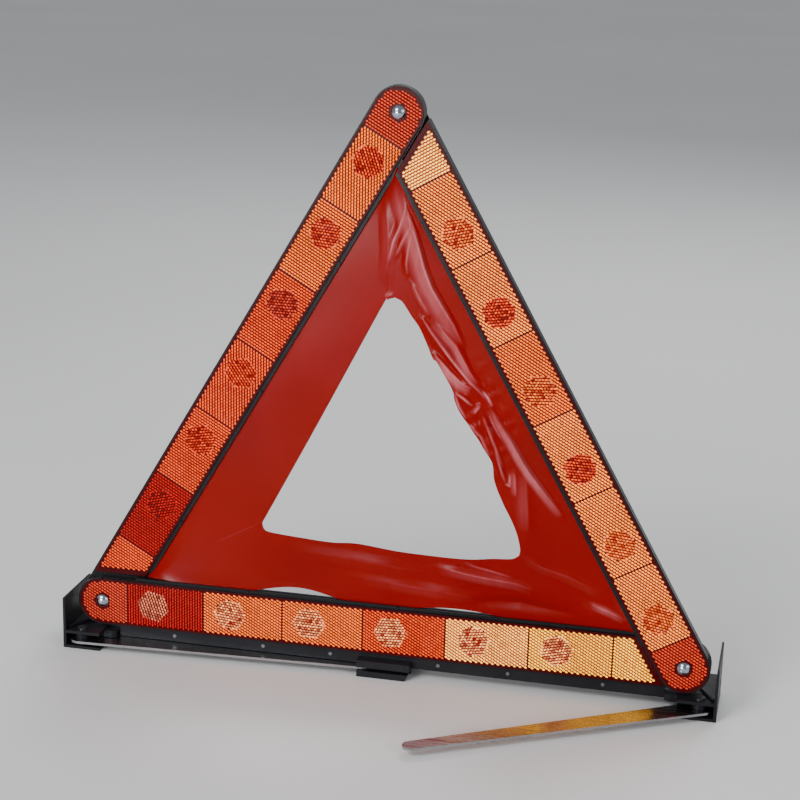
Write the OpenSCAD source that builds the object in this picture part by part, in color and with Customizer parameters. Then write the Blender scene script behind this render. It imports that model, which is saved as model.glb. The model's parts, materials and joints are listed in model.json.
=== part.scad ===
// Folding warning triangle on a low stand with swing-out steel legs.
// Front faces -Y, the stand rests on z = 0, and x = 0 is the middle of the base arm.

/* [Triangle] */
// Distance between the two pivots of one arm
pin_pitch = 398; // [380:1:430]
// Radius of an arm's rounded ends
arm_r = 17; // [16.5:0.5:18]
// Thickness of one arm
arm_t = 6; // [6:0.5:7]
// Air gap between two arms that lie one behind the other
layer_gap = 0.5; // [0.4:0.1:0.8]
// Half width of the reflector lens
lens_r = 15; // [14:0.5:15]
// Width of the black ledge along an arm's inner edge
ledge_w = 3.6; // [3:0.2:4]

/* [Film] */
// Thickness of the red film
film_t = 0.7; // [0.5:0.1:0.8]
// Distance from an arm's axis to the edge of the film's hole
film_reach = 63; // [50:1:75]

/* [Stand] */
// Height of the lower pivots above the ground
pin_z = 31; // [31:1:36]
// Half length of the whole stand
stand_half = 222; // [220:1:226]
// Front edge of the feet, measured from the base arm's middle plane
foot_front = -17.5; // [-20:0.5:-17]
// Rear edge of the feet
foot_back = 31; // [29:1:34]

/* [Legs] */
// Leg length from its pivot to its tip
leg_len = 202; // [190:1:203]
// Leg half width at the pivot
leg_root_r = 8.5; // [8:0.5:9]
// Leg half width at the tip
leg_tip_r = 5.5; // [4:0.5:5.5]
// Leg thickness
leg_t = 1.6; // [1.2:0.1:1.8]
// Angle by which the front right leg stands out from its stowed place
leg_swing = 34; // [0:1:90]

/* [Hidden] */
$fn = 64;
tri_h = pin_pitch * sqrt(3) / 2;
half = pin_pitch / 2;
layer = arm_t + layer_gap;
lean = asin(layer / 2 / tri_h);
ht = arm_t / 2;

lens_front = -ht - 0.2;
lens_back = -0.6;
lens_cut = arm_r + ledge_w + 0.8;
ledge_x0 = 24;
ledge_edge = lens_r + ledge_w;
ledge_front = -1.8;
groove = [-0.5, 0.9];
film_y = (groove[0] + groove[1]) / 2;
film_edge = ledge_edge - 1.5;
shank_r = 2;
bore_r = 2.06;
dome_r = 4.5;
dome_h = 2.2;
peen_r = 4;
pocket_r = 6.5;
stud_hole_r = 4.8;
clip_places = [0.26, 0.52, 0.8];

bar_half = 187;
bar_y = [-2.2, 13];
bar_z = [-24.4, -arm_r];
bar_low_top = -ledge_edge - 0.8;
wall = 2;
bar_inside = bar_low_top - wall;
tab_places = [-147, -84, -37, 37, 84, 147];
tab_w = 12;
tab_y = [0, 2.2];
tab_z = -21.8;

foot_x0 = 196;
shelf_z = [-20.3, -18.3];
sole_z = [-pin_z, -pin_z + 2];
pivot_x = 210.5;
front_pivot_y = -11;
rear_pivot_y = 21;
leg_z = [-24.8 - leg_t, -24.8];
leg_pin_r = 2;
stow = 2.5;
rest_half = 17;
rest_y = [-10, 20];
screw_places = [-180, -10, 10, 180];
screw_z = (bar_z[0] + bar_inside) / 2;

leg_reach = (leg_len - leg_tip_r) * sin(leg_swing - stow) + leg_tip_r;
depth_shift = (leg_reach - front_pivot_y - foot_back) / 2;

// ---- placing -------------------------------------------------------------------------

// Moves from the base arm's own level to the part's frame
module seat() translate([0, depth_shift, pin_z]) children();

module on_base_arm() seat() translate([-half, 0, 0]) children();

module on_right_arm()
    seat() translate([half, -layer, 0]) rotate([-lean, 0, 0]) rotate([0, -120, 0]) children();

module on_left_arm()
    seat() translate([-half, layer, 0]) rotate([lean, 0, 0]) translate([half, 0, tri_h])
        rotate([0, -240, 0]) children();

// Extrudes an X-Z outline from y0 to y1
module slab(y0, y1) translate([0, y1, 0]) rotate([90, 0, 0]) linear_extrude(y1 - y0) children();

module rod_y(x, z, r, y0, y1) translate([x, y1, z]) rotate([90, 0, 0]) cylinder(r = r, h = y1 - y0);

module rod_z(x, y, r, z0, z1) translate([x, y, z0]) cylinder(r = r, h = z1 - z0);

module block(x, y, z) translate([x[0], y[0], z[0]]) cube([x[1] - x[0], y[1] - y[0], z[1] - z[0]]);

// ---- arms ----------------------------------------------------------------------------

module stadium(r) {
    circle(r);
    translate([pin_pitch, 0]) circle(r);
    translate([0, -r]) square([pin_pitch, 2 * r]);
}

// The side of the tail that lies more than d away from the next arm's axis
module clear_of_next_arm(d) translate([pin_pitch, 0]) rotate(120) translate([-600, d]) square([1200, 600]);

module lens_outline(extra) {
    intersection() {
        stadium(lens_r + extra);
        clear_of_next_arm(lens_cut - extra);
    }
}

module arm_outline() {
    stadium(arm_r);
    translate([ledge_x0, 0]) square([pin_pitch - 2 * ledge_x0, ledge_edge]);
}

module housing() {
    difference() {
        slab(-ht, ht) arm_outline();
        slab(-ht - 1, lens_back) lens_outline(0.25);
        slab(-ht - 1, ledge_front) translate([0, lens_r + 1]) square([pin_pitch, ledge_w + 1]);
        slab(groove[0], groove[1]) translate([0, ledge_edge - 2]) square([pin_pitch, 3]);
        rod_y(0, 0, bore_r, -ht - 1, ht + 1);
        rod_y(pin_pitch, 0, bore_r, -ht - 1, ht + 1);
        rod_y(pin_pitch, 0, pocket_r, 0, ht + 1);
        for (place = clip_places) rod_y(place * pin_pitch, film_edge + 0.2, 0.95, -ht, ht);
        for (i = [0 : 6]) slab(ht - 1, ht + 1) translate([34 + 48 * i, -12]) square([42, 24]);
    }
}

module lens() {
    difference() {
        slab(lens_front, lens_back) lens_outline(0);
        rod_y(0, 0, bore_r + 0.2, lens_front - 1, lens_back + 1);
    }
}

// One side of the film: a strip mitred where it meets the next side
module film_strip() {
    slope = tan(30);
    points = [
        [film_edge / slope, film_edge],
        [pin_pitch - film_edge / slope, film_edge],
        [pin_pitch - film_reach / slope, film_reach],
        [film_reach / slope, film_reach],
    ];
    difference() {
        slab(film_y - film_t / 2, film_y + film_t / 2) polygon(points);
        for (place = clip_places) rod_y(place * pin_pitch, film_edge + 0.2, 1.1, -ht, ht);
    }
}

module film_clips() {
    for (place = clip_places) {
        rod_y(place * pin_pitch, film_edge + 0.2, 0.9, ledge_front - 0.4, 2.4);
        rod_y(place * pin_pitch, film_edge + 0.2, 1.2, ledge_front - 0.8, ledge_front);
    }
}

// ---- pivots --------------------------------------------------------------------------

// Domed head at y, facing -Y
module dome(x, y) {
    ball_r = (dome_r * dome_r + dome_h * dome_h) / (2 * dome_h);
    intersection() {
        translate([x, y - dome_h + ball_r, 0]) sphere(ball_r);
        rod_y(x, 0, dome_r, y - dome_h - 1, y);
    }
}

// Domed rivet whose shank ends at y1 in a flat peened head
module rivet(x, y0, y1) {
    dome(x, y0);
    rod_y(x, 0, shank_r, y0, y1);
    rod_y(x, 0, peen_r, y1, y1 + 0.8);
}

module arm_pivot_rivet(x, head_layer) {
    seat() rivet(x, head_layer * layer - ht - 0.35, (head_layer + 1) * layer + 0.1);
}

module washer(x, y) {
    difference() {
        rod_y(x, 0, 5.5, y - 0.15, y + 0.15);
        rod_y(x, 0, bore_r, y - 1, y + 1);
    }
}

// ---- stand ---------------------------------------------------------------------------

module base_bar() color("#202226") seat() {
    difference() {
        union() {
            block([-bar_half, bar_half], bar_y, [bar_z[0], bar_low_top]);
            block([-bar_half, bar_half], [bar_y[0], ht + 0.2], bar_z);
        }
        block([-bar_half - 1, bar_half + 1], [bar_y[0] + wall, bar_y[1] - wall],
              [bar_z[0] - 1, bar_inside]);
        for (x = tab_places) {
            block([x - tab_w / 2 - 0.2, x + tab_w / 2 + 0.2], [tab_y[0] - 0.2, tab_y[1] + 0.2],
                  [-30, 0]);
            rod_y(x, tab_z + 1.6, 0.8, bar_y[0] - 1, tab_y[0]);
        }
        for (x = screw_places) rod_y(x, screw_z, 1.1, 5, bar_y[1] + 1);
    }
    block([-rest_half, rest_half + 2], [rest_y[0], bar_y[0]], [bar_z[0], bar_low_top]);
    for (x = [-160, -115, -60, 60, 115, 160])
        block([x - 0.8, x + 0.8], [tab_y[1] + 0.6, bar_y[1] - wall], [bar_z[0] + 1, bar_inside]);
}

// Foot at the +X end; the leg slots open to the front and the back
module foot() {
    block([foot_x0, stand_half], [foot_front, foot_back], shelf_z);
    block([foot_x0, stand_half], [foot_front, foot_back], sole_z);
    block([stand_half - wall, stand_half], [foot_front, foot_back], [sole_z[0], shelf_z[1]]);
    slab(foot_front, foot_back) polygon([
        [stand_half - wall, shelf_z[0]],
        [stand_half, shelf_z[0]],
        [stand_half, 5],
        [stand_half - wall + 0.6, 5],
    ]);
    block([foot_x0, stand_half], [-1, 11.2], [sole_z[0], shelf_z[1]]);
    translate([220, -14, shelf_z[1]]) rotate(117) cube([25, 1.6, 2]);
    shoulder();
    block([176, bar_half + 1], [0, bar_y[1] - wall - 0.3], [bar_z[0] + 0.2, bar_inside - 0.3]);
}

// Rounded block that joins the foot to the end of the bar
module shoulder() {
    r = 4;
    z = [bar_z[0], bar_low_top];
    block([bar_half, foot_x0], [-4, bar_y[1]], z);
    block([bar_half + r, foot_x0], [-4 - r, -4], z);
    rod_z(bar_half + r, -4, r, z[0], z[1]);
}

module bored_foot() {
    difference() {
        foot();
        for (y = [front_pivot_y, rear_pivot_y])
            rod_z(pivot_x, y, leg_pin_r, sole_z[1] - 1.2, shelf_z[1] + 1);
        rod_y(screw_places[3], screw_z, 0.9, 5, bar_y[1] + 1);
    }
}

module right_foot() color("#232529") seat() bored_foot();

module left_foot() color("#232529") seat() mirror([1, 0, 0]) bored_foot();

// Pocket under the bar that takes the tips of the stowed legs, with a plug inside the bar
module leg_rest() color("#232529") seat() difference() {
    union() {
        slab(rest_y[0], rest_y[1]) polygon([
            [-rest_half, leg_z[0] - 0.4],
            [rest_half + 1, leg_z[0] - 0.4],
            [rest_half - 1, -pin_z],
            [-rest_half, -pin_z],
        ]);
        block([-rest_half, rest_half], [3.9, 6.1], [-pin_z, bar_z[0] + 1]);
        block([-rest_half, rest_half], [0, bar_y[1] - wall - 0.3], [bar_z[0] + 0.2, bar_inside - 0.3]);
    }
    for (x = [screw_places[1], screw_places[2]]) rod_y(x, screw_z, 0.9, 5, bar_y[1] + 1);
}

// Screws that hold the feet and the leg rest in the bar, driven from behind
module stand_screws() color("silver") seat() {
    for (x = screw_places) {
        rod_y(x, screw_z, 0.9, 6, bar_y[1]);
        rod_y(x, screw_z, 1.45, bar_y[1], bar_y[1] + 0.8);
    }
}

module at_leg_pivots() {
    for (x = [-pivot_x, pivot_x], y = [front_pivot_y, rear_pivot_y]) translate([x, y, 0]) children();
}

module leg_pins() color("silver") seat() at_leg_pivots() {
    rod_z(0, 0, leg_pin_r, sole_z[1] - 1.2, shelf_z[1]);
    rod_z(0, 0, 3.4, shelf_z[1], shelf_z[1] + 0.9);
}

module tube_z(outer, z0, z1) {
    difference() {
        rod_z(0, 0, outer, z0, z1);
        rod_z(0, 0, leg_pin_r, z0 - 1, z1 + 1);
    }
}

module leg_bushes() color("#303236") seat() at_leg_pivots() tube_z(4.6, leg_z[1] + 0.1, shelf_z[0]);

module leg_spacers() color("#303236") seat() at_leg_pivots() tube_z(4.6, sole_z[1], leg_z[0] - 0.1);

// Flat tapered strip with its pivot at the origin, lying along +X
module leg() {
    reach = leg_len - leg_tip_r;
    difference() {
        translate([0, 0, leg_z[0]]) linear_extrude(leg_t) {
            circle(leg_root_r);
            translate([reach, 0]) circle(leg_tip_r);
            polygon([[0, -leg_root_r], [reach, -leg_tip_r], [reach, leg_tip_r], [0, leg_root_r]]);
        }
        rod_z(0, 0, leg_pin_r + 0.06, leg_z[0] - 1, leg_z[1] + 1);
    }
}

module front_left_leg() color("gainsboro") seat()
    translate([-pivot_x, front_pivot_y, 0]) rotate(stow) leg();

module front_right_leg() color("gainsboro") seat()
    translate([pivot_x, front_pivot_y, 0]) rotate(180 - stow + leg_swing) leg();

module rear_left_leg() color("gainsboro") seat()
    translate([-pivot_x, rear_pivot_y, 0]) rotate(-stow) leg();

module rear_right_leg() color("gainsboro") seat()
    translate([pivot_x, rear_pivot_y, 0]) rotate(180 + stow) leg();

// ---- base arm ------------------------------------------------------------------------

module base_housing() color("#1b1c1f") {
    on_base_arm() housing();
    seat() difference() {
        for (x = tab_places) block([x - tab_w / 2, x + tab_w / 2], tab_y, [tab_z, -arm_r + 1]);
        for (x = tab_places) rod_y(x, tab_z + 1.6, 0.8, bar_y[0] - 1, tab_y[1] + 1);
    }
}

module base_lens() color("orangered") on_base_arm() lens();

module base_film() color("crimson") on_base_arm() film_strip();

module base_film_clips() color("white") on_base_arm() film_clips();

// Pins that lock the base arm's tabs in the bar
module bar_pins() color("silver") seat() {
    for (x = tab_places) {
        rod_y(x, tab_z + 1.6, 0.8, bar_y[0], tab_y[1]);
        rod_y(x, tab_z + 1.6, 1.2, bar_y[0] - 0.4, bar_y[0]);
    }
}

module left_pivot_rivet() color("silver") arm_pivot_rivet(-half, 0);

module right_pivot_rivet() color("silver") arm_pivot_rivet(half, -1);

module pivot_washers() color("white") seat() {
    washer(-half, layer / 2);
    washer(half, -layer / 2);
}

// ---- right arm -----------------------------------------------------------------------

module right_housing() color("#1b1c1f") on_right_arm() intersection() {
    housing();
    slab(-ht - 1, ht + 1) clear_of_next_arm(ledge_edge + 0.6);
}

module right_lens() color("orangered") on_right_arm() lens();

module right_film() color("crimson") on_right_arm() film_strip();

module right_film_clips() color("white") on_right_arm() film_clips();

// Sprung lug that steps back behind the left arm's head and takes its snap knob
module top_lug() color("#1b1c1f") on_right_arm() {
    rear = ht + layer;
    difference() {
        union() {
            lug_layer(ht, ht + 2, ledge_edge + 1.2, 34);
            lug_layer(ht, rear + 2.6, ledge_edge + 1.2, ledge_edge + 4);
            lug_layer(rear + 0.8, rear + 2.6, -30, ledge_edge + 4);
        }
        rod_y(pin_pitch, 0, stud_hole_r, ht, rear + 4);
    }
}

// Slice of the lug between two distances from the left arm's axis
module lug_layer(y0, y1, near, far) {
    slab(y0, y1) intersection() {
        stadium(arm_r - 3);
        difference() {
            clear_of_next_arm(near);
            clear_of_next_arm(far);
        }
    }
}

// ---- left arm ------------------------------------------------------------------------

module left_housing() color("#1b1c1f") on_left_arm() housing();

module left_lens() color("orangered") on_left_arm() lens();

module left_film() color("crimson") on_left_arm() film_strip();

module left_film_clips() color("white") on_left_arm() film_clips();

module top_rivet() color("silver") on_left_arm() {
    dome(0, lens_front - 0.15);
    rod_y(0, 0, shank_r, lens_front - 0.15, ht + 5);
}

// Round knob on the back of the left arm's head that presses through the lug
module snap_knob() color("#1b1c1f") on_left_arm() difference() {
    union() {
        rod_y(0, 0, stud_hole_r - 0.4, ht, ht + 3.4);
        rod_y(0, 0, stud_hole_r + 0.5, ht + 3.4, ht + 4.6);
    }
    rod_y(0, 0, shank_r, ht - 1, ht + 6);
}

base_bar();
left_foot();
right_foot();
leg_rest();
stand_screws();
leg_pins();
leg_bushes();
leg_spacers();
front_left_leg();
front_right_leg();
rear_left_leg();
rear_right_leg();
base_housing();
base_lens();
base_film();
base_film_clips();
bar_pins();
left_pivot_rivet();
right_pivot_rivet();
pivot_washers();
right_housing();
right_lens();
right_film();
right_film_clips();
top_lug();
left_housing();
left_lens();
left_film();
left_film_clips();
top_rivet();
snap_knob();
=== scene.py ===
import json
import math

import bpy
import numpy as np
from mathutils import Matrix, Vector


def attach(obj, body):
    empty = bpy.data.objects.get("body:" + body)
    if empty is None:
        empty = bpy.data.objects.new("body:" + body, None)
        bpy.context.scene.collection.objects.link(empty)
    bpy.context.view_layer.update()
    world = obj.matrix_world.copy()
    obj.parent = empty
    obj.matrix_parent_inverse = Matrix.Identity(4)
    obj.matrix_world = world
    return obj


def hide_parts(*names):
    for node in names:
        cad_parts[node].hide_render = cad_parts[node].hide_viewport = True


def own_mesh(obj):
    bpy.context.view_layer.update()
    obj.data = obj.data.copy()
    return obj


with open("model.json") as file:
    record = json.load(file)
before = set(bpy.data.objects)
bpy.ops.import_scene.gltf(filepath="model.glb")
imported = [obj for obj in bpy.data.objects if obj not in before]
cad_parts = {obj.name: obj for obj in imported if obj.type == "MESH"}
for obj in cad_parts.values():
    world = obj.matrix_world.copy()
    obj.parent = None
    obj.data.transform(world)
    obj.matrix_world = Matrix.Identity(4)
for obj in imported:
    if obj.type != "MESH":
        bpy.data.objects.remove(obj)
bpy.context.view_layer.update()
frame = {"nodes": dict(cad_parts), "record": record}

MM = 0.001
rng = np.random.default_rng(7)

# Sizes shared with the design, in metres
LENS_R = 15 * MM
LEDGE_W = 3.6 * MM
ARM_R = 17 * MM
LENS_BACK = -0.6 * MM
LENS_CUT = ARM_R + LEDGE_W + 0.8 * MM
LEDGE_EDGE = LENS_R + LEDGE_W
FILM_DEPTH = 0.2 * MM
FILM_INSET = LEDGE_EDGE - 1.3 * MM
FILM_THICKNESS = 0.3 * MM

joints = {j["name"]: j for j in frame["record"]["behaviour"]["joints"]}


# ---- where the arms are --------------------------------------------------------------

class Arm:
    """An arm's own frame: x from its head pivot to its tail, y to the rear, z inwards."""

    def __init__(self, body, head, rear, angle):
        across = Vector((1, 0, 0))
        up = across.cross(rear)
        self.body = body
        self.head = head
        self.rear = rear
        self.along = across * math.cos(angle) + up * math.sin(angle)
        self.inward = self.along.cross(rear)

    def at(self, points):
        """Points in the arm's frame, as an (n, 3) array, moved to the row frame."""
        axes = np.array([self.along, self.rear, self.inward])
        return np.asarray(points) @ axes + np.array(self.head)

    def to_local(self, points):
        axes = np.array([self.along, self.rear, self.inward])
        return (np.asarray(points) - np.array(self.head)) @ axes.T


right_pin = Vector(joints["right_arm_fold"]["pos_m"])
left_pin = Vector(joints["left_arm_fold"]["pos_m"])
PITCH = right_pin.x - left_pin.x
MID_Y = (left_pin.y + right_pin.y) / 2
PIN_Z = right_pin.z
right_rear = -Vector(joints["right_arm_fold"]["axis"])
left_rear = Vector(joints["left_arm_fold"]["axis"])

base_arm = Arm("root", Vector((left_pin.x, MID_Y, PIN_Z)), Vector((0, 1, 0)), 0.0)
right_arm = Arm("right_arm", right_pin, right_rear, math.radians(120))
left_arm = Arm("left_arm", left_pin, left_rear, math.radians(240))
left_arm.head = left_pin - left_arm.along * PITCH
ARMS = {"base": base_arm, "right": right_arm, "left": left_arm}


# ---- mesh helpers --------------------------------------------------------------------

def add_piece(name, verts, faces, body, material, smooth=True):
    """A mesh piece in the row frame that rides a body."""
    mesh = bpy.data.meshes.new(name)
    mesh.from_pydata([tuple(v) for v in verts], [], faces)
    mesh.validate()
    mesh.update()
    obj = bpy.data.objects.new(name, mesh)
    bpy.context.scene.collection.objects.link(obj)
    mesh.materials.append(material)
    mesh.polygons.foreach_set("use_smooth", [smooth] * len(mesh.polygons))
    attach(obj, body)
    return obj


def set_painted_light(obj, colours):
    """Stores one colour or amount per vertex for the material to read: painted light, and the lens
    rim's own red.
    """
    layer = obj.data.color_attributes.new("Tint", "FLOAT_COLOR", "POINT")
    rgba = np.ones((len(colours), 4))
    rgba[:, :3] = colours
    layer.data.foreach_set("color", rgba.ravel())


# ---- materials -----------------------------------------------------------------------

class Nodes:
    """A small wrapper that builds a material's node tree."""

    def __init__(self, name):
        self.material = bpy.data.materials.new(name)
        self.material.use_nodes = True
        self.tree = self.material.node_tree
        self.shader = self.tree.nodes["Principled BSDF"]

    def add(self, kind, **values):
        n = self.tree.nodes.new(kind)
        for key, value in values.items():
            if hasattr(n, key):
                setattr(n, key, value)
            else:
                n.inputs[key.replace("_", " ")].default_value = value
        return n

    def link(self, a, b):
        self.tree.links.new(a, b)

    def coords(self):
        return self.add("ShaderNodeTexCoord").outputs["Object"]

    def noise(self, scale, detail=4.0, roughness=0.55, stretch=None):
        n = self.add("ShaderNodeTexNoise", Scale=scale, Detail=detail, Roughness=roughness)
        source = self.coords()
        if stretch:
            mapping = self.add("ShaderNodeMapping", Scale=stretch)
            self.link(source, mapping.inputs["Vector"])
            source = mapping.outputs["Vector"]
        self.link(source, n.inputs["Vector"])
        return n.outputs["Fac"]

    def spread(self, source, low, high, start=0.3, end=0.7):
        m = self.add("ShaderNodeMapRange")
        m.inputs["From Min"].default_value = start
        m.inputs["From Max"].default_value = end
        m.inputs["To Min"].default_value = low
        m.inputs["To Max"].default_value = high
        self.link(source, m.inputs["Value"])
        return m.outputs["Result"]

    def blend(self, source, low, high):
        mix = self.add("ShaderNodeMix", data_type="RGBA")
        mix.inputs["A"].default_value = (*low, 1)
        mix.inputs["B"].default_value = (*high, 1)
        self.link(source, mix.inputs["Factor"])
        return mix.outputs["Result"]

    def bump(self, source, distance, strength=1.0, before=None):
        b = self.add("ShaderNodeBump", Strength=strength, Distance=distance)
        self.link(source, b.inputs["Height"])
        if before:
            self.link(before, b.inputs["Normal"])
        return b.outputs["Normal"]

    def set(self, **values):
        for key, value in values.items():
            self.shader.inputs[key.replace("_", " ")].default_value = value


def moulded_plastic(name, base, worn, grain, rough_low, rough_high, coat):
    m = Nodes(name)
    cloud = m.noise(35.0)
    fine = m.noise(grain, detail=2.0)
    scuff = m.noise(140.0, detail=6.0, stretch=(0.3, 1.0, 1.6))
    m.link(m.blend(m.spread(cloud, 0.0, 1.0), base, worn), m.shader.inputs["Base Color"])
    m.link(m.spread(scuff, rough_low, rough_high), m.shader.inputs["Roughness"])
    normal = m.bump(fine, 0.00006, 0.55)
    m.link(m.bump(cloud, 0.0002, 0.25, normal), m.shader.inputs["Normal"])
    m.set(IOR=1.5, Specular_IOR_Level=0.18, Coat_Weight=coat, Coat_Roughness=0.22)
    return m.material


def polished_metal(name, low, high, rough_low, rough_high, stretch):
    m = Nodes(name)
    streak = m.noise(420.0, detail=5.0, stretch=stretch)
    cloud = m.noise(22.0)
    m.link(m.blend(m.spread(cloud, 0.0, 1.0), low, high), m.shader.inputs["Base Color"])
    m.link(m.spread(streak, rough_low, rough_high), m.shader.inputs["Roughness"])
    m.link(m.bump(streak, 0.00002, 0.3), m.shader.inputs["Normal"])
    m.set(Metallic=1.0)
    return m.material


def lens_material():
    """Clear red lens over prisms: the painted retroreflection of each prism, painted shade between
    them and painted highlights at their tips, is stored on its vertices, and the lens glows with
    it.
    """
    m = Nodes("reflector_lens")
    painted_retroreflection = m.add("ShaderNodeAttribute", attribute_name="Tint")
    grime = m.noise(60.0)
    speckle = m.noise(900.0, detail=2.0)
    dim = m.spread(grime, 0.82, 1.0)
    scaled = m.add("ShaderNodeVectorMath", operation="SCALE")
    m.link(painted_retroreflection.outputs["Color"], scaled.inputs[0])
    m.link(dim, scaled.inputs["Scale"])
    paint = m.add("ShaderNodeVectorMath", operation="MINIMUM")
    m.link(scaled.outputs["Vector"], paint.inputs[0])
    paint.inputs[1].default_value = (0.35, 0.12, 0.04)
    m.link(paint.outputs["Vector"], m.shader.inputs["Base Color"])
    # The stored painted light also drives emission, so the lens glows though it is no lamp
    m.link(scaled.outputs["Vector"], m.shader.inputs["Emission Color"])
    m.link(m.spread(speckle, 0.16, 0.34), m.shader.inputs["Roughness"])
    m.set(Emission_Strength=GLOW, IOR=1.49, Specular_IOR_Level=0.12)
    return m.material


def film_material():
    """Glossy soft PVC with slight clouding and fine puckers, lightened to pale pink by a painted
    highlight on its folds.
    """
    m = Nodes("red_film")
    cloud = m.noise(14.0, detail=3.0)
    pucker = m.noise(55.0, detail=3.0)
    fine = m.noise(900.0, detail=2.0)
    deep = (0.19, 0.0003, 0.0)
    light = (0.225, 0.0005, 0.0)
    red = m.blend(m.spread(cloud, 0.0, 1.0), deep, light)
    painted_highlight = m.add("ShaderNodeAttribute", attribute_name="Tint")
    streak = m.noise(60.0, detail=5.0, stretch=(3.0, 1.0, 0.7))
    amount = m.add("ShaderNodeMath", operation="MULTIPLY")
    m.link(painted_highlight.outputs["Fac"], amount.inputs[0])
    m.link(m.spread(streak, 0.55, 1.0), amount.inputs[1])
    # Painted highlight: pale pink mixed into the red where the stored amount and a streaky noise
    # say
    mix = m.add("ShaderNodeMix", data_type="RGBA")
    mix.inputs["B"].default_value = (0.68, 0.2, 0.22, 1)
    m.link(red, mix.inputs["A"])
    m.link(amount.outputs["Value"], mix.inputs["Factor"])
    m.link(mix.outputs["Result"], m.shader.inputs["Base Color"])
    m.link(m.spread(pucker, 0.22, 0.27), m.shader.inputs["Roughness"])
    normal = m.bump(pucker, 0.0004, 0.09)
    m.link(m.bump(fine, 0.00002, 0.4, normal), m.shader.inputs["Normal"])
    m.set(IOR=1.5, Specular_IOR_Level=0.11)
    return m.material


# How strongly the lens glows with its painted retroreflection; it is no lamp
GLOW = 0.85
BLACK = (0.0035, 0.0035, 0.0042)
BLACK_WORN = (0.0075, 0.0078, 0.0095)
materials = {
    "arm": moulded_plastic("arm_plastic", BLACK, BLACK_WORN, 1600.0, 0.2, 0.36, 0.06),
    "stand": moulded_plastic("stand_plastic", (0.006, 0.0062, 0.0085), (0.012, 0.0125, 0.016),
                             1100.0, 0.3, 0.5, 0.0),
    "nylon": moulded_plastic("white_nylon", (0.72, 0.71, 0.67), (0.82, 0.81, 0.78),
                             1500.0, 0.35, 0.5, 0.0),
    "chrome": polished_metal("chrome_rivet", (0.34, 0.38, 0.46), (0.5, 0.54, 0.63),
                             0.08, 0.2, (1.0, 1.0, 1.0)),
    "steel": polished_metal("leg_steel", (0.3, 0.3, 0.315), (0.42, 0.42, 0.435),
                            0.2, 0.32, (0.04, 1.0, 1.0)),
    "zinc": polished_metal("zinc_screw", (0.13, 0.13, 0.14), (0.22, 0.22, 0.235),
                           0.28, 0.46, (1.0, 1.0, 1.0)),
    "lens": lens_material(),
    "film": film_material(),
}


# ---- reflector lenses ----------------------------------------------------------------

# Lens separators as shares of the pitch, as the camera fit to the photograph gave them
CELL_EDGES = [0.0464, 0.1827, 0.3223, 0.4623, 0.6034, 0.7436, 0.8828]
PRISM_PITCH = 2.15 * MM
TILE_R = PRISM_PITCH / math.sqrt(3)
ROW_GAP = TILE_R * 1.5
GROOVE = 0.33 * MM
FLANGE_R = 16.1 * MM
FIELD_R = 14.65 * MM
FLANGE_BACK = -3.03 * MM
FLANGE_FRONT = -3.3 * MM
FLOOR_Y = -2.9 * MM
PRISM_TOP_Y = -3.24 * MM
DISC_R = 10.6 * MM
DISC_PLACE = 0.34
BOSS_R = 5.6 * MM
# Distance from the next arm's centre line to the field and the flange at the slanted tail
TAIL_FIELD = 21.6 * MM
TAIL_FLANGE = 18.9 * MM

RIM_RED = (0.035, 0.0, 0.0008)
# How a cell shines back, painted into its colour and glow: the painted shade between its prisms
# and the painted highlight of their tips
DARK = ((0.07, 0.0, 0.0), (0.6, 0.004, 0.002))
RED = ((0.08, 0.0, 0.0), (1.1, 0.06, 0.02))
ORANGE_RED = ((0.10, 0.0, 0.0), (2.1, 0.11, 0.015))
ORANGE = ((0.13, 0.0, 0.0), (2.9, 0.4, 0.04))
BRIGHT = ((0.14, 0.0, 0.0), (3.7, 0.95, 0.11))
CREAM = ((0.22, 0.012, 0.0), (4.6, 2.3, 0.4))
YELLOW = ((0.22, 0.02, 0.0), (4.4, 2.3, 0.12))
PINK_DOTS = ((0.06, 0.0, 0.0), (2.0, 0.45, 0.26))
WHITE_DOTS = ((0.14, 0.0, 0.0), (3.8, 1.5, 0.5))

# Painted retroreflection of the head cell, six cells with discs, and the tail cell of each arm;
# then of the discs
CELLS = {
    "left": [RED, ORANGE, ORANGE, ORANGE_RED, ORANGE_RED, ORANGE_RED, DARK, ORANGE_RED],
    "right": [RED, BRIGHT, BRIGHT, BRIGHT, ORANGE, BRIGHT, BRIGHT, CREAM],
    "base": [RED, DARK, ORANGE, ORANGE, ORANGE_RED, CREAM, YELLOW, YELLOW],
}
DISCS = {
    "left": [ORANGE_RED, ORANGE_RED, RED, ORANGE_RED, ORANGE_RED, DARK],
    "right": [ORANGE, ORANGE, ORANGE_RED, ORANGE, ORANGE_RED, ORANGE],
    "base": [PINK_DOTS, WHITE_DOTS, WHITE_DOTS, WHITE_DOTS, WHITE_DOTS, WHITE_DOTS],
}
# Direction, in degrees from the arm's length, that the prisms of each cell are drawn out in
PRISM_TURN = {
    "left": [90, 30, 90, 90, 30, 90, 90, 90],
    "right": [30, 30, 30, 30, 30, 30, 30, 90],
    "base": [-30, 90, -30, -30, -30, -30, -30, -30],
}


def cut_x(z, d):
    """Where the tail's slanted cut, at distance d from the next arm, crosses height z."""
    return PITCH - (d + 0.5 * z) / math.sin(math.radians(60))


def round_corner(corner, before, after, radius, steps):
    """Points of an arc that rounds a corner between two neighbours."""
    a = (before - corner).normalized()
    b = (after - corner).normalized()
    half = a.angle(b) / 2
    start = corner + a * (radius / math.tan(half))
    end = corner + b * (radius / math.tan(half))
    centre = corner + (a + b).normalized() * (radius / math.sin(half))
    points = []
    for i in range(steps + 1):
        p = start.lerp(end, i / steps) - centre
        points.append(centre + p.normalized() * radius)
    return points


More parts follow.
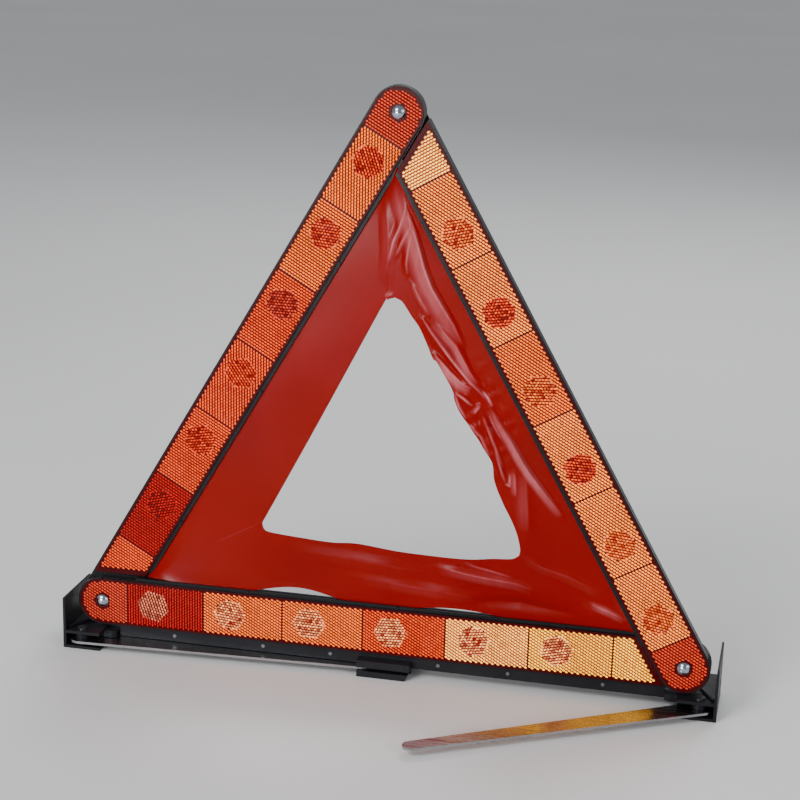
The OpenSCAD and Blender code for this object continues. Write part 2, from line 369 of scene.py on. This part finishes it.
def lens_outline(r, d):
    """Outline of the lens for a half width r and a tail cut at distance d."""
    bottom = Vector((cut_x(-r, d), -r))
    top = Vector((cut_x(r, d), r))
    arc_steps = 40
    points = []
    for i in range(arc_steps + 1):
        angle = math.pi / 2 + math.pi * i / arc_steps
        points.append(Vector((r * math.cos(angle), r * math.sin(angle))))
    for i in range(1, 24):
        points.append(Vector((bottom.x * 0.97 * i / 24, -r)))
    points += round_corner(bottom, Vector((0, -r)), top, 1.3 * MM, 5)
    points += round_corner(top, bottom, Vector((0, r)), 1.3 * MM, 5)
    for i in range(23, 0, -1):
        points.append(Vector((top.x * 0.97 * i / 24, r)))
    return points


def on_field(x, z, margin=0.55 * MM):
    """Which places lie on the prism field, clear of its edge and of the rivet's boss."""
    r = FIELD_R - margin
    cut = PITCH - (TAIL_FIELD + margin + 0.5 * z) / math.sin(math.radians(60))
    inside = (np.abs(z) < r) & (x < cut) & ((x > 0) | (np.hypot(x, z) < r))
    return inside & (np.hypot(x, z) > BOSS_R - 0.2 * MM)


def cell_tiles(k):
    """Rows of prisms of one cell, fitted between its two separators."""
    edges = [-FIELD_R / PITCH] + CELL_EDGES + [1.0]
    low, high = edges[k] * PITCH, edges[k + 1] * PITCH
    first = low + GROOVE + 0.75 * TILE_R
    last = high - GROOVE - 0.75 * TILE_R
    rows = max(round((last - first) / ROW_GAP), 1)
    gap = ROW_GAP if k in (0, 7) else (last - first) / rows
    count = np.arange(-10, 11)
    xs, zs = [], []
    for i in range(rows + 3 if k == 7 else rows + 1):
        x = last - i * gap if k == 0 else first + i * gap
        xs.append(np.full(len(count), x))
        zs.append((count + 0.5 * (i % 2)) * PRISM_PITCH)
    x, z = np.concatenate(xs), np.concatenate(zs)
    keep = on_field(x, z)
    limits = (-1.0 if k == 0 else low + GROOVE, 1.0 if k == 7 else high - GROOVE)
    return x[keep], z[keep], gap / ROW_GAP, limits


def disc_tiles(k, turn):
    """Prisms of the turned lattice inside a cell's disc."""
    low, high = CELL_EDGES[k - 1] * PITCH, CELL_EDGES[k] * PITCH
    centre = low + DISC_PLACE * (high - low)
    i, j = np.meshgrid(np.arange(-8, 9), np.arange(-8, 9))
    x = j * ROW_GAP
    z = (i + 0.5 * (j % 2)) * PRISM_PITCH
    c, s = math.cos(turn), math.sin(turn)
    x, z = (c * x - s * z).ravel(), (s * x + c * z).ravel()
    keep = np.hypot(x, z) < DISC_R + 0.2 * MM
    return x[keep] + centre, z[keep], centre


def prism_mesh(name):
    """Vertices, faces and painted light of all prisms of an arm, in the arm's frame: painted shade
    at their feet, painted highlights at their tips.
    """
    hexagon = np.radians(60) * np.arange(6)
    verts, prism_painted_colours, count = [], [], 0
    for k in range(8):
        x, z, widen, limits = cell_tiles(k)
        shine = CELLS[name][k]
        turns = np.full(len(x), math.radians(PRISM_TURN[name][k]))
        # Random brightness of each prism's painted highlight
        level = np.clip(rng.normal(0.8, 0.13, len(x)) + 0.1 * np.sin(x * 90 + k), 0.3, 1.0)
        batches = [(x, z, turns, level, shine, 0.0, widen)]
        if 0 < k < 7:
            spin = math.radians(14 + 5 * k)
            dx, dz, centre = disc_tiles(k, spin)
            outside = np.hypot(x - centre, z) > DISC_R - 0.8 * MM
            batches = [(x[outside], z[outside], turns[outside], level[outside], shine, 0.0, widen)]
            # Random brightness of the painted highlights on the disc's prisms
            speckle = rng.beta(1.0, 1.1, len(dx))
            swing = turns[0] + spin + rng.normal(0, 0.35, len(dx))
            batches.append((dx, dz, swing, speckle, DISCS[name][k - 1], spin, 1.0))
        for x, z, turns, level, shine, spin, widen in batches:
            low, high = np.array(shine[0]), np.array(shine[1])
            cs, sn = math.cos(spin), math.sin(spin)
            hx, hz = np.cos(hexagon) * TILE_R, np.sin(hexagon) * TILE_R
            rings = []
            # The foot ring takes the painted shade between prisms, the middle ring nearly so, the
            # tip ring the painted highlight
            rings.append(((cs * hx - sn * hz) * widen, sn * hx + cs * hz, FLOOR_Y, 0.0))
            for size, y, mix in ((0.7, 0.72, 0.02), (0.42, 1.0, 1.0)):
                c, s = np.cos(turns)[:, None], np.sin(turns)[:, None]
                along = np.cos(hexagon - turns[:, None]) * TILE_R * size * 1.35
                across = np.sin(hexagon - turns[:, None]) * TILE_R * size * 0.78
                ring_y = FLOOR_Y + y * (PRISM_TOP_Y - FLOOR_Y)
                rings.append((c * along - s * across, s * along + c * across, ring_y, mix))
            parts, colours = [], []
            for rx, rz, y, mix in rings:
                px = np.clip(x[:, None] + rx, *limits)
                pz = z[:, None] + rz
                parts.append(np.stack([px, np.full_like(px, y), pz], -1))
                top = low + (high - low) * (mix * level)[:, None]
                colours.append(np.repeat(top[:, None, :], 6, axis=1))
            verts.append(np.concatenate(parts, axis=1).reshape(-1, 3))
            prism_painted_colours.append(np.concatenate(colours, axis=1).reshape(-1, 3))
            count += len(x)
    faces = []
    for n in range(count):
        o = 18 * n
        for k in (0, 6):
            for i in range(6):
                j = (i + 1) % 6
                faces.append((o + k + i, o + k + j, o + k + 6 + j, o + k + 6 + i))
        faces.append(tuple(o + 12 + i for i in range(6)))
    return np.concatenate(verts), faces, np.concatenate(prism_painted_colours)


def lens_shell():
    """The lens with its smooth rim, its sunk field and the flat boss round the rivet."""
    body_r, body_d = LENS_R - 0.05 * MM, LENS_CUT
    levels = [
        (body_r, body_d, LENS_BACK),
        (body_r, body_d, FLANGE_BACK),
        (FLANGE_R, TAIL_FLANGE, FLANGE_BACK),
        (FLANGE_R, TAIL_FLANGE, FLANGE_FRONT + 0.12 * MM),
        (FLANGE_R - 0.14 * MM, TAIL_FLANGE + 0.14 * MM, FLANGE_FRONT),
        (FIELD_R + 0.1 * MM, TAIL_FIELD - 0.1 * MM, FLANGE_FRONT + 0.02 * MM),
        (FIELD_R, TAIL_FIELD, FLOOR_Y),
    ]
    loops = [[(p.x, y, p.y) for p in lens_outline(r, d)] for r, d, y in levels]
    n = len(loops[0])
    verts = [p for loop in loops for p in loop]
    faces = []
    for k in range(len(loops) - 1):
        for i in range(n):
            j = (i + 1) % n
            faces.append((k * n + i, k * n + j, (k + 1) * n + j, (k + 1) * n + i))
    faces.append(tuple(range((len(loops) - 1) * n, len(loops) * n)))
    faces.append(tuple(reversed(range(n))))
    steps = 40
    for r, y in ((BOSS_R, FLOOR_Y), (BOSS_R - 0.1 * MM, FLANGE_FRONT + 0.03 * MM),
                 (0.4 * MM, FLANGE_FRONT + 0.01 * MM)):
        for i in range(steps):
            a = 2 * math.pi * i / steps
            verts.append((r * math.cos(a), y, r * math.sin(a)))
    o = len(loops) * n
    for k in range(2):
        for i in range(steps):
            j = (i + 1) % steps
            a, b = o + k * steps, o + (k + 1) * steps
            faces.append((a + i, a + j, b + j, b + i))
    faces.append(tuple(o + 2 * steps + i for i in range(steps)))
    return np.array(verts), faces, np.tile(RIM_RED, (len(verts), 1))


def make_lens(name):
    arm = ARMS[name]
    shell_verts, shell_faces, shell_tints = lens_shell()
    prism_verts, prism_faces, prism_painted_light = prism_mesh(name)
    shift = len(shell_verts)
    faces = shell_faces + [tuple(i + shift for i in f) for f in prism_faces]
    verts = arm.at(np.concatenate([shell_verts, prism_verts]))
    obj = add_piece(f"{name}_reflector", verts, faces, arm.body, materials["lens"],
                    smooth=False)
    # The rim keeps its own red; the prisms carry painted retroreflection
    set_painted_light(obj, np.concatenate([shell_tints, prism_painted_light]))
    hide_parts(f"{name}_lens")
    return obj


# ---- red film ------------------------------------------------------------------------

# Plan of the film in millimetres from the point midway between the lower pivots.
# Most points were read in the photograph and put on the film's plane with the fitted
# camera by a helper script, then rounded.
HOLE = {
    "left": [(1, 227.5), (-4, 225.5), (-8, 220), (-46, 145), (-82, 75), (-86, 67.5), (-86, 64)],
    "base": [(-86, 64), (-84, 61.3), (-78, 60.2), (-60, 59), (-38, 58), (-20, 59), (8, 56.5),
             (29, 56), (55, 56.5), (70, 58.5), (83, 60), (88, 63)],
    "right": [(88, 63), (88.5, 68), (86, 78), (82, 87), (75.5, 99), (70, 112), (68, 124),
              (63, 132), (54, 145), (46.5, 155), (42, 164), (40.5, 170), (30.5, 187), (27, 190),
              (22.5, 199.5), (17.5, 209.5), (12.5, 216), (9, 221), (5.5, 225.5), (1, 227.5)],
}
# Where the film has slipped out of the base arm's groove: from, to, and how far
SLIPS = {"base": [(-98, -24, 6.2), (8, 90, 3.4)], "right": [], "left": []}

# Folds of the film, from points read and moved in the same way: path, half widths to the left and
# right of it, height to the front, and how strongly a painted highlight lightens it on its left,
# on its right and on the crest
FOLDS = [
    ([(2, 305), (7, 286), (12, 274), (16, 261), (20, 248), (25, 236), (32, 225), (40, 213),
      (46, 201)], 3.0, 10.0, 2.6, 0.0, 0.46, 0.85),
    ([(7, 285), (3, 273), (-1, 263), (-4, 250)], 2.2, 4.0, 1.2, 0.3, 0.0, 0.65),
    ([(10, 274), (5, 264), (1, 255)], 1.8, 3.2, 1.1, 0.3, 0.0, 0.6),
    ([(11, 270), (9, 258), (8, 250), (9, 243)], 1.6, 3.6, 1.2, 0.2, 0.0, 0.5),
    ([(-8, 292), (-5, 274), (-4, 256), (-5, 240)], 6.0, 6.0, 1.0, 0.08, 0.08, 0.16),
    ([(12, 238), (17, 229), (24, 218)], 2.2, 2.8, 1.2, 0.2, 0.2, 0.5),
    ([(-6, 228), (-3, 229.5), (0, 229.5)], 1.4, 1.4, 0.3, 0.0, 0.0, 0.6),
    ([(20, 215), (26, 207), (39, 191.5), (52, 177), (58, 172), (62, 167)],
     2.6, 4.8, 2.8, 0.1, 0.0, 0.8),
    ([(27, 214), (42, 200), (47, 191), (51, 184), (57, 176)], 3.4, 5.0, 1.8, 0.0, 0.5, 0.5),
    ([(28, 193), (38, 183), (46, 176), (53, 173)], 2.8, 7.0, 2.4, 0.0, 0.7, 0.9),
    ([(42, 169), (48, 166), (54, 161)], 2.6, 3.4, 2.0, 0.0, 0.0, 0.7),
    ([(59, 162), (55, 156)], 1.6, 2.2, 1.4, 0.0, 0.4, 0.7),
    ([(60, 172), (64, 168), (67, 162)], 1.4, 1.8, 1.4, 0.0, 0.3, 0.9),
    ([(66, 161), (72, 151), (80, 140), (88, 127), (93, 120), (103, 108), (115, 94)],
     2.6, 5.2, 2.6, 0.1, 0.6, 0.6),
    ([(65, 156), (68, 149), (73, 141)], 1.6, 2.0, -1.6, 0.0, 0.0, 0.6),
    ([(61, 155), (68, 139), (75, 122)], 2.0, 2.6, 1.5, 0.0, 0.0, 0.45),
    ([(70, 132), (77, 112)], 1.8, 2.4, 1.6, 0.0, 0.0, 0.5),
    ([(77, 111), (80, 110), (80, 118)], 1.4, 1.4, 1.1, 0.0, 0.0, 0.7),
    ([(83, 119), (84, 103)], 2.2, 3.0, 1.0, 0.0, 0.2, 0.45),
    ([(90, 118), (92, 96), (93, 80)], 6.0, 8.0, 1.0, 0.0, 0.1, 0.16),
    ([(42, 168), (45, 160), (50, 152)], 1.4, 2.0, 1.2, 0.0, 0.0, 0.7),
    ([(52, 148), (60, 141), (66, 128)], 1.4, 2.0, 1.0, 0.3, 0.0, 0.5),
    ([(54, 53), (71, 50), (84, 47)], 2.2, 4.0, 1.2, 0.0, 0.05, 0.25),
    ([(34, 49), (66, 45), (87, 43), (98, 40)], 3.4, 6.0, 1.6, 0.05, 0.12, 0.3),
    ([(92, 62), (105, 56), (122, 52), (142, 44)], 3.0, 5.0, 0.9, 0.0, 0.03, 0.08),
    ([(136, 35), (148, 32), (160, 27)], 2.4, 4.6, 1.6, 0.2, 0.3, 0.6),
    ([(-60, 50), (-20, 48), (26, 44)], 6.0, 8.0, 0.9, 0.0, 0.02, 0.05),
    ([(-20, 36), (20, 33), (60, 30)], 5.0, 7.0, 1.1, 0.0, 0.05, 0.08),
    ([(60, 28), (90, 30), (124, 26)], 4.0, 6.0, -1.4, 0.0, 0.0, 0.0),
]


def curve(points, count):
    """A smooth curve through points, resampled evenly to count places."""
    p = np.array(points, float)
    p = np.vstack([2 * p[0] - p[1], p, 2 * p[-1] - p[-2]])
    t = np.linspace(0, 1, 24, endpoint=False)[:, None]
    parts = []
    for i in range(1, len(p) - 2):
        a, b, c, d = p[i - 1], p[i], p[i + 1], p[i + 2]
        parts.append(0.5 * (2 * b + (c - a) * t + (2 * a - 5 * b + 4 * c - d) * t**2
                            + (3 * b - a - 3 * c + d) * t**3))
    dense = np.vstack(parts + [p[-2:-1]])
    length = np.concatenate([[0], np.cumsum(np.hypot(*np.diff(dense, axis=0).T))])
    s = np.linspace(0, length[-1], count)
    return np.stack([np.interp(s, length, dense[:, 0]), np.interp(s, length, dense[:, 1])], -1)


def path_offset(q, path):
    """Signed distance of each place from a path, and its share of the way along it."""
    p = np.array(path, float)
    steps = np.hypot(*np.diff(p, axis=0).T)
    before = np.concatenate([[0], np.cumsum(steps)])
    best = np.full(len(q), 1e9)
    side = np.zeros(len(q))
    share = np.zeros(len(q))
    for a, b, length, start in zip(p[:-1], p[1:], steps, before):
        d = (b - a) / length
        along = np.clip((q - a) @ d, 0, length)
        near = a + along[:, None] * d
        gap = np.hypot(*(q - near).T)
        closer = gap < best
        best[closer] = gap[closer]
        cross = (q[:, 0] - near[:, 0]) * d[1] - (q[:, 1] - near[:, 1]) * d[0]
        side[closer] = np.sign(cross)[closer]
        share[closer] = ((start + along) / before[-1])[closer]
    return best * np.where(side == 0, 1, side), share


def fold_height(q):
    """How far the film stands to the front at each place of its plan, and how much painted
    highlight it gets.
    """
    total = np.zeros(len(q))
    clear = np.ones(len(q))
    for path, left, right, height, highlight_left, highlight_right, highlight_crest in FOLDS:
        offset, share = path_offset(q, path)
        on_right = offset > 0
        width = np.where(on_right, right, left)
        fade = np.sin(np.pi * (0.04 + 0.92 * share)) ** 0.7
        crest = np.clip(1.08 - np.sqrt((offset / width) ** 2 + 0.08**2), 0, 1)
        total += height * crest**1.25 * fade
        # Painted highlight on the fold's sides and along its crest, lightening the film's colour
        side = np.where(on_right, highlight_right, highlight_left)
        flank = np.clip(crest * 1.7, 0, 1) ** 1.5 * side
        line = np.exp(-((offset / 0.55) ** 2)) * highlight_crest * 1.25
        end = np.sin(np.pi * np.clip(share, 0.001, 0.999)) ** 0.8
        clear *= 1 - np.clip(np.maximum(flank, line) * end, 0, 0.97)
    x, z = q.T
    crumple = np.exp(-(((x - 62) / 22) ** 2) - ((z - 150) / 34) ** 2)
    total += 0.5 * crumple * np.sin(x * 0.62 + 0.9 * np.sin(z * 0.31)) * np.sin(z * 0.47 + x * 0.2)
    slack = np.exp(-(((x - 40) / 60) ** 2) - ((z - 44) / 16) ** 2)
    total += 0.7 * slack * np.sin(x * 0.11 + z * 0.05)
    total += 0.35 * np.sin(x * 0.045 + 1.3) * np.sin(z * 0.06)
    return total, 1 - clear


def on_plane(q):
    """Places of the film's plan, in millimetres, on the base arm's plane in the row frame."""
    return np.stack([q[:, 0] * MM, np.full(len(q), MID_Y), PIN_Z + q[:, 1] * MM], -1)


def film_surface(q):
    """Places of the film's plan moved to its surface in the row frame, and their painted
    highlight.
    """
    flat = on_plane(q)
    weights, depths = [], []
    for arm in ARMS.values():
        local = arm.to_local(flat)
        groove = arm.at(np.stack([local[:, 0], np.full(len(q), FILM_DEPTH), local[:, 2]], -1))
        gap = np.maximum(local[:, 2] - LEDGE_EDGE + 2.5 * MM, 0.6 * MM)
        weights.append(1 / gap)
        depths.append(groove[:, 1])
    w = np.array(weights)
    rest = (w * np.array(depths)).sum(0) / w.sum(0)
    edge = np.minimum.reduce([arm.to_local(flat)[:, 2] for arm in ARMS.values()])
    calm = np.clip((edge - LEDGE_EDGE) / (8 * MM), 0, 1) ** 1.3
    height, painted_highlight = fold_height(q)
    flat[:, 1] = rest - height * calm * MM
    return flat, painted_highlight * calm


def groove_edge(name, count):
    """The film's outer edge along an arm, in millimetres of the plan."""
    arm = ARMS[name]
    start = FILM_INSET / math.tan(math.radians(30))
    x = np.linspace(start, PITCH - start, count)
    z = np.full(count, FILM_INSET)
    for low, high, lift in SLIPS[name]:
        t = np.clip((x / MM - PITCH / MM / 2 - low) / (high - low), 0, 1)
        z = z + lift * MM * np.sin(np.pi * t) ** 1.4
    p = arm.at(np.stack([x, np.zeros(count), z], -1))
    return np.stack([p[:, 0], p[:, 2] - PIN_Z], -1) / MM


def make_film(name):
    """One side of the film, from the arm's groove to the hole, with its flat area and size."""
    arm = ARMS[name]
    across, along = 56, 341
    outer = groove_edge(name, along)
    inner = curve(HOLE[name], along)
    for end, corner in ((0, CORNERS[name][0]), (-1, CORNERS[name][1])):
        outer[end] = corner
    shares = np.linspace(0, 1, across + 1)
    plan = np.concatenate([outer + (inner - outer) * s for s in shares])
    verts, painted_highlight = film_surface(plan)
    faces = []
    for i in range(across):
        for j in range(along - 1):
            a = i * along + j
            faces.append((a, a + 1, a + along + 1, a + along))
    obj = add_piece(f"{name}_film_sheet", verts, faces, arm.body, materials["film"])
    # Stores the film's painted highlight for its material
    set_painted_light(obj, np.repeat(painted_highlight[:, None], 3, axis=1))
    thick = obj.modifiers.new("thickness", "SOLIDIFY")
    thick.thickness = FILM_THICKNESS
    thick.offset = 0.0
    rim = obj.modifiers.new("crisp rim", "EDGE_SPLIT")
    rim.split_angle = math.radians(60)
    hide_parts(f"{name}_film")
    grid = plan.reshape(across + 1, along, 2)
    a, b = grid[1:, 1:] - grid[:-1, :-1], grid[:-1, 1:] - grid[1:, :-1]
    area = np.abs(a[..., 0] * b[..., 1] - a[..., 1] * b[..., 0]).sum() / 2 * MM**2
    spans = np.ptp(arm.to_local(on_plane(plan)), axis=0)
    return obj, area, (spans[2], spans[0])


# The three corners of the film, where two arms' grooves meet
corner_z = FILM_INSET / MM
corner_x = PITCH / MM / 2 - corner_z * math.sqrt(3)
top_z = PITCH / MM * math.sqrt(3) / 2 - 2 * corner_z
CORNERS = {
    "left": ((0, top_z), (-corner_x, corner_z)),
    "base": ((-corner_x, corner_z), (corner_x, corner_z)),
    "right": ((corner_x, corner_z), (0, top_z)),
}


# ---- top lug -------------------------------------------------------------------------


def make_top_lug():
    """The thin lug, in the arm's plastic, riding on the right arm."""
    source = frame["nodes"]["top_lug"]
    mesh = source.data.copy()
    mesh.materials.clear()
    mesh.materials.append(materials["arm"])
    obj = bpy.data.objects.new("top_lug_plate", mesh)
    bpy.context.scene.collection.objects.link(obj)
    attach(obj, "right_arm")
    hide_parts("top_lug")
    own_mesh(obj)


# ---- CAD nodes that keep their shape -------------------------------------------------

NODE_MATERIALS = {
    "arm": ("base_housing", "right_housing", "left_housing", "snap_knob", "base_film_clips",
            "right_film_clips", "left_film_clips"),
    "stand": ("base_bar", "left_foot", "right_foot", "leg_rest", "leg_bushes", "leg_spacers"),
    "nylon": ("pivot_washers",),
    "chrome": ("left_pivot_rivet", "right_pivot_rivet", "top_rivet"),
    "steel": ("front_left_leg", "front_right_leg", "rear_left_leg", "rear_right_leg"),
    "zinc": ("stand_screws", "leg_pins", "bar_pins"),
}
EDGE_ROUNDING = {"arm": 0.3 * MM, "stand": 0.35 * MM, "steel": 0.3 * MM}


def dress_cad_nodes():
    for kind, names in NODE_MATERIALS.items():
        for name in names:
            obj = frame["nodes"][name]
            obj.data.materials.clear()
            obj.data.materials.append(materials[kind])
            if kind in EDGE_ROUNDING:
                bevel = obj.modifiers.new("rounded edges", "BEVEL")
                bevel.width = EDGE_ROUNDING[kind]
                bevel.segments = 2
                bevel.limit_method = "ANGLE"
                bevel.angle_limit = math.radians(50)
                bevel.harden_normals = True


# ---- the picture ---------------------------------------------------------------------

def make_floor():
    m = Nodes("pale_floor")
    cloud = m.noise(1.5)
    m.link(m.blend(m.spread(cloud, 0.0, 1.0), (0.74, 0.74, 0.74), (0.78, 0.78, 0.78)),
           m.shader.inputs["Base Color"])
    m.set(Roughness=0.6)
    size = 12.0
    verts = [(-size, -size, 0), (size, -size, 0), (size, size, 0), (-size, size, 0)]
    mesh = bpy.data.meshes.new("floor")
    mesh.from_pydata(verts, [], [(0, 1, 2, 3)])
    mesh.materials.append(m.material)
    floor = bpy.data.objects.new("floor", mesh)
    bpy.context.scene.collection.objects.link(floor)


def add_light(name, place, target, size, power):
    light = bpy.data.lights.new(name, "AREA")
    light.shape = "RECTANGLE"
    light.size, light.size_y = size
    light.energy = power
    obj = bpy.data.objects.new(name, light)
    obj.location = place
    obj.rotation_euler = (Vector(target) - Vector(place)).to_track_quat("-Z", "Y").to_euler()
    bpy.context.scene.collection.objects.link(obj)


def light_studio():
    world = bpy.data.worlds.new("studio")
    world.use_nodes = True
    world.node_tree.nodes["Background"].inputs["Color"].default_value = (0.86, 0.88, 0.92, 1)
    world.node_tree.nodes["Background"].inputs["Strength"].default_value = 0.45
    bpy.context.scene.world = world
    middle = (0, MID_Y, 0.2)
    add_light("key", (-0.9, -1.5, 1.5), middle, (1.0, 0.8), 26)
    add_light("low front", (-0.8, -1.9, 0.36), middle, (0.7, 0.3), 26)
    add_light("fill", (1.6, -1.0, 0.9), middle, (1.2, 1.0), 8)
    add_light("back", (0.4, 1.5, 1.5), middle, (1.4, 0.6), 18)


# Where the camera stands, measured from the point midway between the lower pivots, with its
# turn in degrees and its lens in millimetres. All are the camera fit's results, rounded.
CAMERA_PLACE = (258.6 * MM, -1164.9 * MM, 496.1 * MM)
CAMERA_TURN = (74.26, -1.46, 12.65)
CAMERA_LENS = 86.5


def place_camera():
    camera = bpy.data.cameras.new("camera")
    camera.lens = CAMERA_LENS
    camera.sensor_width = 36.0
    obj = bpy.data.objects.new("camera", camera)
    obj.location = Vector((0, MID_Y, PIN_Z)) + Vector(CAMERA_PLACE)
    obj.rotation_euler = [math.radians(a) for a in CAMERA_TURN]
    bpy.context.scene.collection.objects.link(obj)
    bpy.context.scene.camera = obj


place_camera()
make_floor()
light_studio()
dress_cad_nodes()
for side in ARMS:
    make_lens(side)
films = {side: make_film(side) for side in ARMS}

# How far inside the ledge's edge each film's anchor lies
FILM_TUCK = 0.4 * MM
# Each film gets a mesh of its own; its anchor is worked out but not used
for side, (film, area, flat_size) in films.items():
    arm = ARMS[side]
    anchor = arm.at([[PITCH / 2, FILM_DEPTH, LEDGE_EDGE - FILM_TUCK]])[0]
    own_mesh(film)
make_top_lug()
